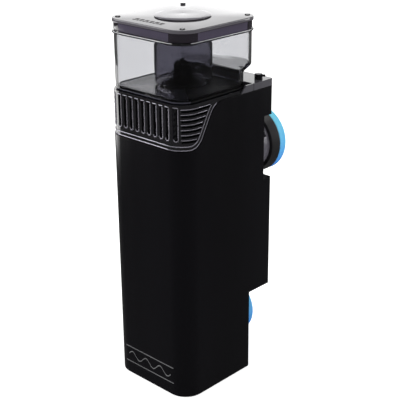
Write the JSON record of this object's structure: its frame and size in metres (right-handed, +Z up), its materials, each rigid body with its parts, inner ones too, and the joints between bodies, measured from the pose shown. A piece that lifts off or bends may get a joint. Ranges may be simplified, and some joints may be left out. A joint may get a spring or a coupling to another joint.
{
  "type": "in-tank surface skimmer filter",
  "caption": "Compact black aquarium filter and skimmer with comb intake, smoked collecting cup under a lid, magnet holder and inner pump.",
  "frame": {"origin": "centre of the flat underside of the housing", "axes": "+Z up along the housing, +Y towards the aquarium glass, +X to the right seen from the comb side"},
  "size_m": [0.0906, 0.1474, 0.3225],
  "materials": {
    "housing_black": "satin near-black moulded plastic",
    "badge_grey": "matt grey inlay",
    "comb_gloss": "glossy dark moulding",
    "inner_black": "matt black",
    "chamber_smoke": "dark smoked plastic",
    "sponge": "open-cell black foam",
    "smoke_clear": "clear smoked plastic",
    "riser_black": "satin black",
    "seal_rubber": "matt black rubber",
    "lid_gloss": "polished smoked plate",
    "pin_black": "black",
    "hose_clear": "soft milky silicone",
    "bracket_grey": "satin dark grey",
    "steel": "stainless",
    "magnet_case": "satin black",
    "magnet_metal": "coated magnet",
    "pad_blue": "sky blue soft silicone",
    "motor_resin": "potting resin",
    "impeller_white": "white",
    "ceramic_white": "polished ceramic"
  },
  "bodies": {
    "body": {"housing": "housing_black", "rear_wall": "housing_black", "base_plate": "housing_black", "badge_inlay": "badge_grey", "intake_comb": "comb_gloss", "deck_plate": "inner_black", "divider_plate": "inner_black", "reaction_chamber": "chamber_smoke", "sponge_block": "sponge", "cover_wings": "housing_black", "air_hose": "hose_clear", "air_injector": "inner_black", "magnet_bracket": "bracket_grey", "bracket_screws": "steel", "buffer_post": "inner_black", "lower_buffer": "pad_blue", "outlet_spout": "inner_black", "pump_motor": "motor_resin", "pump_volute": "inner_black", "pump_strainer": "inner_black", "pump_feet": "seal_rubber", "shaft_bushings": "seal_rubber"},
    "cup": {"skimmer_cup": "smoke_clear", "foam_riser": "riser_black", "riser_seal": "seal_rubber"},
    "lid": {"cup_lid": "lid_gloss", "lid_seal": "seal_rubber", "lid_pins": "pin_black", "lid_cap": "lid_gloss", "splash_tube": "smoke_clear"},
    "cover": {"rear_cover": "housing_black", "air_valve": "pin_black", "cable_gland": "seal_rubber"},
    "knob": {"air_knob": "pin_black"},
    "rotor": {"impeller": "impeller_white", "rotor_magnet": "magnet_metal", "rotor_shaft": "ceramic_white"},
    "magnet": {"magnet_body": "magnet_case", "magnet_core": "magnet_metal", "magnet_pad": "pad_blue"}
  },
  "joints": [
    {"name": "cup_lift", "type": "slide", "parent": "body", "child": "cup", "axis": [0, 0, 1], "range_m": [0, 0.06]},
    {"name": "lid_lift", "type": "slide", "parent": "cup", "child": "lid", "axis": [0, 0, 1], "range_m": [0, 0.03]},
    {"name": "cover_lift", "type": "slide", "parent": "body", "child": "cover", "axis": [0, 0, 1], "range_m": [0, 0.009]},
    {"name": "air_valve_turn", "type": "hinge", "parent": "cover", "child": "knob", "pos_m": [0.038, 0.057, 0.269], "axis": [0, 0, 1], "range_deg": [0, 270]},
    {"name": "impeller_spin", "type": "hinge", "parent": "body", "child": "rotor", "pos_m": [0, 0.01, 0.03], "axis": [1, 0, 0], "continuous": true},
    {"name": "magnet_twist", "type": "hinge", "parent": "body", "child": "magnet", "pos_m": [0, 0.09, 0.1955], "axis": [0, 1, 0], "range_deg": [0, 60]}
  ]
}
